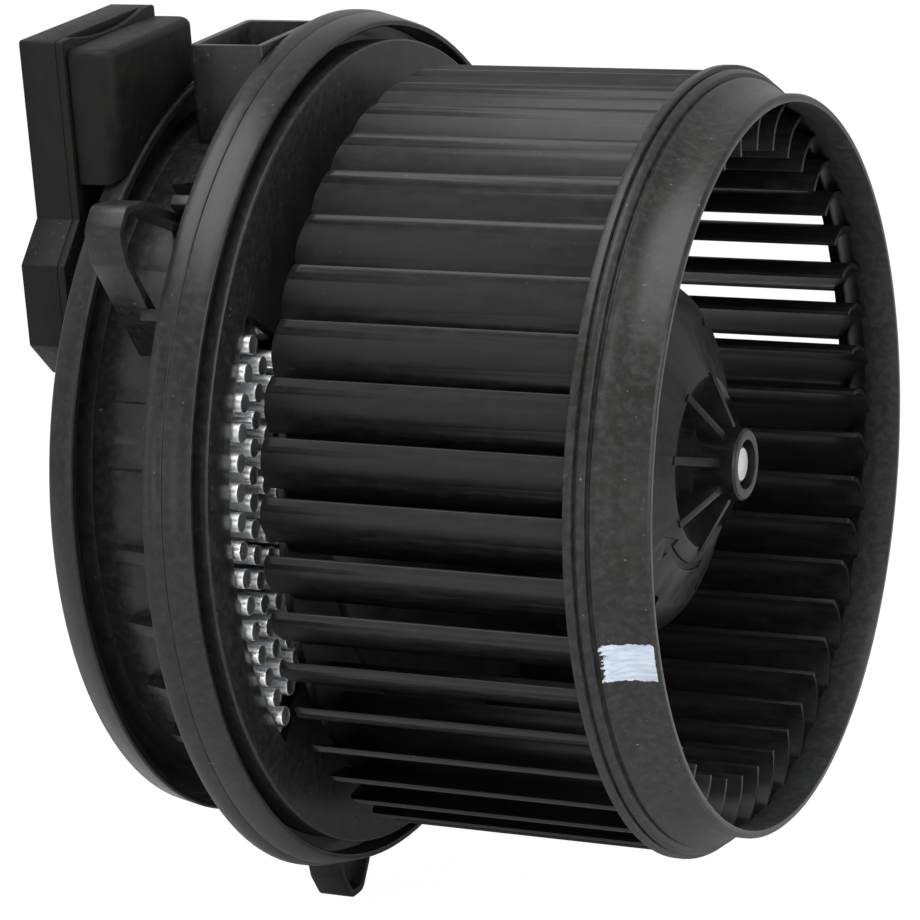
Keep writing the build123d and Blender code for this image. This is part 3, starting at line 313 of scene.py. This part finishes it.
metals = {
    "aluminium": {
        "colour": (0.78, 0.79, 0.80, 1), "stainColour": (0.60, 0.61, 0.62, 1),
        "pitColour": (0.32, 0.32, 0.33, 1),
        "stainScale": 160.0, "stainLevel": 0.6, "lineScale": 900.0,
        "lineStretch": (0.4, 1, 1), "pitScale": 1100.0,
        "pitLevel": 0.35, "lineLevel": 0.35, "lineRough": 0.12,
        "rough": 0.27, "roughVary": 0.15, "metallic": 0.95,
    },
    "cast_aluminium": {
        "colour": (0.46, 0.47, 0.48, 1), "stainColour": (0.30, 0.31, 0.32, 1),
        "pitColour": (0.16, 0.16, 0.16, 1),
        "stainScale": 90.0, "stainLevel": 0.7, "lineScale": 500.0,
        "lineStretch": (1, 1, 1), "pitScale": 900.0,
        "pitLevel": 0.6, "lineLevel": 0.5, "lineRough": 0.1,
        "rough": 0.5, "roughVary": 0.15, "metallic": 0.85,
    },
    "screw_steel": {
        "colour": (0.40, 0.41, 0.43, 1), "stainColour": (0.26, 0.25, 0.22, 1),
        "pitColour": (0.12, 0.11, 0.1, 1),
        "stainScale": 400.0, "stainLevel": 0.5, "lineScale": 1500.0,
        "lineStretch": (1, 1, 1), "pitScale": 1500.0,
        "pitLevel": 0.4, "lineLevel": 0.25, "lineRough": 0.1,
        "rough": 0.33, "roughVary": 0.2, "metallic": 0.95,
    },
    "shaft_steel": {
        "colour": (0.64, 0.64, 0.65, 1), "stainColour": (0.48, 0.47, 0.45, 1),
        "pitColour": (0.2, 0.2, 0.2, 1),
        "stainScale": 300.0, "stainLevel": 0.5, "lineScale": 2200.0,
        "lineStretch": (1, 0.3, 0.3), "pitScale": 1400.0,
        "pitLevel": 0.3, "lineLevel": 0.3, "lineRough": 0.12,
        "rough": 0.30, "roughVary": 0.15, "metallic": 0.97,
    },
    "cup_steel": {
        "colour": (0.23, 0.23, 0.24, 1), "stainColour": (0.15, 0.15, 0.15, 1),
        "pitColour": (0.1, 0.1, 0.1, 1),
        "stainScale": 120.0, "stainLevel": 0.6, "lineScale": 900.0,
        "lineStretch": (4, 1, 1), "pitScale": 1000.0,
        "pitLevel": 0.3, "lineLevel": 0.3, "lineRough": 0.1,
        "rough": 0.38, "roughVary": 0.15, "metallic": 0.9,
    },
    "bearing_steel": {
        "colour": (0.58, 0.58, 0.6, 1), "stainColour": (0.42, 0.41, 0.40, 1),
        "pitColour": (0.3, 0.3, 0.3, 1),
        "stainScale": 400.0, "stainLevel": 0.4, "lineScale": 2400.0,
        "lineStretch": (3, 1, 1), "pitScale": 2000.0,
        "pitLevel": 0.15, "lineLevel": 0.15, "lineRough": 0.06,
        "rough": 0.18, "roughVary": 0.1, "metallic": 1.0,
    },
    "lamination_steel": {
        "colour": (0.24, 0.25, 0.27, 1), "stainColour": (0.14, 0.13, 0.13, 1),
        "pitColour": (0.2, 0.1, 0.06, 1),
        "stainScale": 200.0, "stainLevel": 0.6, "lineScale": 60.0,
        "lineStretch": (35, 0.1, 0.1), "pitScale": 700.0,
        "pitLevel": 0.3, "lineLevel": 0.9, "lineRough": 0.2,
        "rough": 0.45, "roughVary": 0.15, "metallic": 0.8,
    },
    "copper_wire": {
        "colour": (0.48, 0.17, 0.06, 1), "stainColour": (0.30, 0.09, 0.03, 1),
        "pitColour": (0.12, 0.05, 0.02, 1),
        "stainScale": 150.0, "stainLevel": 0.6, "lineScale": 60.0,
        "lineStretch": (1, 30, 30), "pitScale": 900.0,
        "pitLevel": 0.3, "lineLevel": 1.0, "lineRough": 0.1,
        "rough": 0.35, "roughVary": 0.1, "metallic": 0.6,
    },
    "tinned_brass": {
        "colour": (0.60, 0.58, 0.52, 1), "stainColour": (0.45, 0.36, 0.2, 1),
        "pitColour": (0.3, 0.25, 0.15, 1),
        "stainScale": 500.0, "stainLevel": 0.4, "lineScale": 1800.0,
        "lineStretch": (1, 1, 0.3), "pitScale": 1500.0,
        "pitLevel": 0.2, "lineLevel": 0.2, "lineRough": 0.1,
        "rough": 0.28, "roughVary": 0.1, "metallic": 0.95,
    },
}


# circuit board with copper tracks under the green mask

def boardFinish(name, look):
    finish = Finish(bpy.data.materials.new(name))
    cells = {"Vector": finish.place(), "Scale": look["trackScale"]}
    tracks = finish.node("ShaderNodeTexVoronoi", {"feature": "DISTANCE_TO_EDGE"}, cells)
    copper = tracks < look["trackWidth"]
    weave = finish.noise(look["weaveScale"], 2.0, look["weaveStretch"])
    colour = finish.mixed(weave, look["mask"], look["maskLight"])
    finish.feed("Base Color", finish.mixed(copper * look["trackShow"], colour, look["track"]))
    finish.feed("Roughness", look["rough"] + weave * look["weaveRough"])
    finish.feed("Normal", finish.bump(copper, look["trackRise"], look["trackDepth"]))
    return finish.owner


board = {
    "trackScale": 260.0, "trackWidth": 0.06, "trackShow": 0.6, "trackRise": 0.3, "trackDepth": 0.00005,
    "weaveScale": 900.0, "weaveStretch": (1, 1, 4), "rough": 0.30, "weaveRough": 0.12,
    "mask": (0.010, 0.055, 0.022, 1), "maskLight": (0.016, 0.085, 0.034, 1), "track": (0.03, 0.14, 0.05, 1),
}

finishes = {name: plasticFinish(name, look) for name, look in plastics.items()}
finishes.update({name: metalFinish(name, look) for name, look in metals.items()})
finishes["board_laminate"] = boardFinish("board_laminate", board)
slotOf = {entry["node"]: entry["material_slot"] for entry in frame["record"]["subparts"]}


def dress(piece, slotName):
    piece.data.materials.clear()
    piece.data.materials.append(finishes[slotName])


for nodeName, piece in nodes.items():
    dress(piece, slotOf[nodeName])
print("finishes made:", len(finishes))


# moulded and cast pieces get the small edge radii of the real ones

joining = {"mergeDistance": 0.000004, "flatAngle": 0.6}


def only(piece):
    bpy.ops.object.select_all(action="DESELECT")
    piece.select_set(True)
    bpy.context.view_layer.objects.active = piece


def applyAll(piece):
    only(piece)
    for modifier in list(piece.modifiers):
        bpy.ops.object.modifier_apply(modifier=modifier.name)


def softEdged(nodeName, look):
    piece = bpy.data.objects.new(nodeName + "_moulded", nodes[nodeName].data.copy())
    bpy.context.collection.objects.link(piece)
    only(piece)
    bpy.ops.object.mode_set(mode="EDIT")
    bpy.ops.mesh.select_all(action="SELECT")
    bpy.ops.mesh.remove_doubles(threshold=joining["mergeDistance"])
    flat = math.radians(joining["flatAngle"])
    bpy.ops.mesh.dissolve_limited(angle_limit=flat, use_dissolve_boundaries=False)
    bpy.ops.object.mode_set(mode="OBJECT")
    bevel = piece.modifiers.new("edgeRadius", "BEVEL")
    bevel.width = look["radius"]
    bevel.segments = look["steps"]
    bevel.limit_method = "ANGLE"
    bevel.angle_limit = math.radians(look["angle"])
    bevel.harden_normals = False
    bevel.use_clamp_overlap = True
    applyAll(piece)
    bpy.ops.object.shade_smooth_by_angle(angle=math.radians(look["smooth"]))
    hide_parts(nodeName)
    return piece


edges = {
    "mounting_flange": {"body": "housing", "radius": 0.0004, "steps": 2, "angle": 40, "smooth": 32},
    "motor_housing": {"body": "housing", "radius": 0.0003, "steps": 2, "angle": 40, "smooth": 32},
    "rear_cover": {"body": "housing", "radius": 0.0003, "steps": 2, "angle": 40, "smooth": 32},
    "housing_rim": {"body": "housing", "radius": 0.0003, "steps": 2, "angle": 40, "smooth": 32},
    "bayonet_loops": {"body": "housing", "radius": 0.0003, "steps": 2, "angle": 40, "smooth": 32},
    "harness_socket": {"body": "housing", "radius": 0.0003, "steps": 2, "angle": 40, "smooth": 32},
    "controller_tub": {"body": "housing", "radius": 0.0003, "steps": 2, "angle": 40, "smooth": 32},
    "controller_lid": {"body": "housing", "radius": 0.0003, "steps": 2, "angle": 40, "smooth": 32},
    "module_cap": {"body": "housing", "radius": 0.0003, "steps": 2, "angle": 40, "smooth": 32},
    "heat_sink": {"body": "housing", "radius": 0.0005, "steps": 2, "angle": 50, "smooth": 40},
    "wheel_hub": {"body": "rotor", "radius": 0.0003, "steps": 2, "angle": 32, "smooth": 28},
    "hub_flare": {"body": "rotor", "radius": 0.0001, "steps": 1, "angle": 60, "smooth": 40},
    "wheel_disc": {"body": "rotor", "radius": 0.0003, "steps": 2, "angle": 32, "smooth": 28},
    "wheel_blades": {"body": "rotor", "radius": 0.00035, "steps": 2, "angle": 50, "smooth": 32},
    "inlet_ring": {
        "body": "rotor", "radius": 0.0002, "steps": 2, "angle": 40, "smooth": 32, "finish": "ring_plastic",
    },
}
for nodeName, look in edges.items():
    piece = softEdged(nodeName, look)
    dress(piece, look.get("finish", slotOf[nodeName]))
    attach(piece, look["body"])
    print("edges softened:", nodeName, len(piece.data.polygons), "faces")


# studio

def stage(look):
    bpy.ops.mesh.primitive_plane_add(size=look["size"], location=(0, 0, look["level"]))
    floor = bpy.context.object
    floor.name = "studio_floor"
    floor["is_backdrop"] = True
    finish = Finish(bpy.data.materials.new("studioFloor"))
    finish.fixed("Base Color", look["colour"])
    finish.fixed("Roughness", look["rough"])
    seen = finish.node("ShaderNodeLightPath", output="Is Camera Ray") * look["glow"]
    paper = Wire(finish.tree, finish.shader.outputs[0])
    glow = finish.node("ShaderNodeEmission", None, {"Strength": look["white"]})
    shown = finish.node("ShaderNodeMixShader", None, {0: seen, 1: paper, 2: glow})
    finish.tree.links.new(shown.socket, finish.tree.nodes["Material Output"].inputs[0])
    floor.data.materials.append(finish.owner)


def surround(look):
    bpy.context.scene.world = bpy.data.worlds.new("studioWorld")
    sky = Finish(bpy.context.scene.world, "Background")
    sky.fixed("Color", (1, 1, 1, 1))
    camera = sky.node("ShaderNodeLightPath", output="Is Camera Ray")
    glossy = sky.node("ShaderNodeLightPath", output="Is Glossy Ray")
    glass = sky.node("ShaderNodeLightPath", output="Is Transmission Ray")
    seen = (camera + glass) * (1 - look["diffuse"])
    sky.feed("Strength", look["diffuse"] + seen + glossy * (look["glossy"] - look["diffuse"]))


lampAim = (0.02, 0, 0)


def lamp(name, look):
    data = bpy.data.lights.new(name, "AREA")
    data.shape = "RECTANGLE"
    data.size, data.size_y = look["size"]
    data.energy = look["power"]
    holder = bpy.data.objects.new(name, data)
    bpy.context.collection.objects.link(holder)
    holder.location = look["place"]
    aim = Vector(lampAim) - Vector(look["place"])
    holder.rotation_euler = aim.to_track_quat("-Z", "Y").to_euler()


lamps = {
    "topSoftbox": {"place": (-0.05, -0.20, 0.95), "size": (0.9, 0.7), "power": 11.0},
    "leftSoftbox": {"place": (-0.55, -0.95, 0.30), "size": (0.35, 0.9), "power": 1.8},
    "frontStrip": {"place": (0.55, -0.95, 0.10), "size": (0.10, 0.40), "power": 0.9},
    "sideStrip": {"place": (-0.02, -0.98, 0.12), "size": (0.08, 0.40), "power": 0.7},
    "rightSoftbox": {"place": (0.95, -0.35, 0.35), "size": (0.35, 0.9), "power": 5.5},
}
for name, look in lamps.items():
    lamp(name, look)
surround({"diffuse": 0.34, "glossy": 0.70})
floorGap = 0.002
stage({
    "size": 6.0, "level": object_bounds()[0][2] - floorGap, "glow": 0.92, "white": 1.07,
    "colour": (0.92, 0.92, 0.92, 1), "rough": 0.9,
})


# camera a little above the axis, on the open side of the wheel

def standCamera(look):
    turn, lift, roll = (math.radians(look[key]) for key in ("azimuth", "elevation", "roll"))
    level = math.cos(lift)
    back = Vector((math.sin(turn) * level, -math.cos(turn) * level, math.sin(lift)))
    right = Vector((math.cos(turn), math.sin(turn), 0))
    up = back.cross(right)
    side = right * math.cos(roll) + up * math.sin(roll)
    top = up * math.cos(roll) - right * math.sin(roll)
    data = bpy.data.cameras.new("standCameraView")
    data.lens = look["lens"]
    data.sensor_width = look["sensor"]
    data.clip_end = look["reach"]
    camera = bpy.data.objects.new("standCameraView", data)
    bpy.context.collection.objects.link(camera)
    turned = Matrix((side, top, back)).transposed().to_4x4()
    camera.matrix_world = Matrix.Translation(look["place"]) @ turned
    bpy.context.scene.camera = camera


standCamera({
    "azimuth": 25.32, "elevation": 17.20, "roll": -4.11, "place": (0.35152, -0.70800, 0.23919),
    "lens": 148.73, "sensor": 36.0, "reach": 20.0,
})
bpy.context.scene.view_settings.view_transform = "Standard"
print("studio ready")
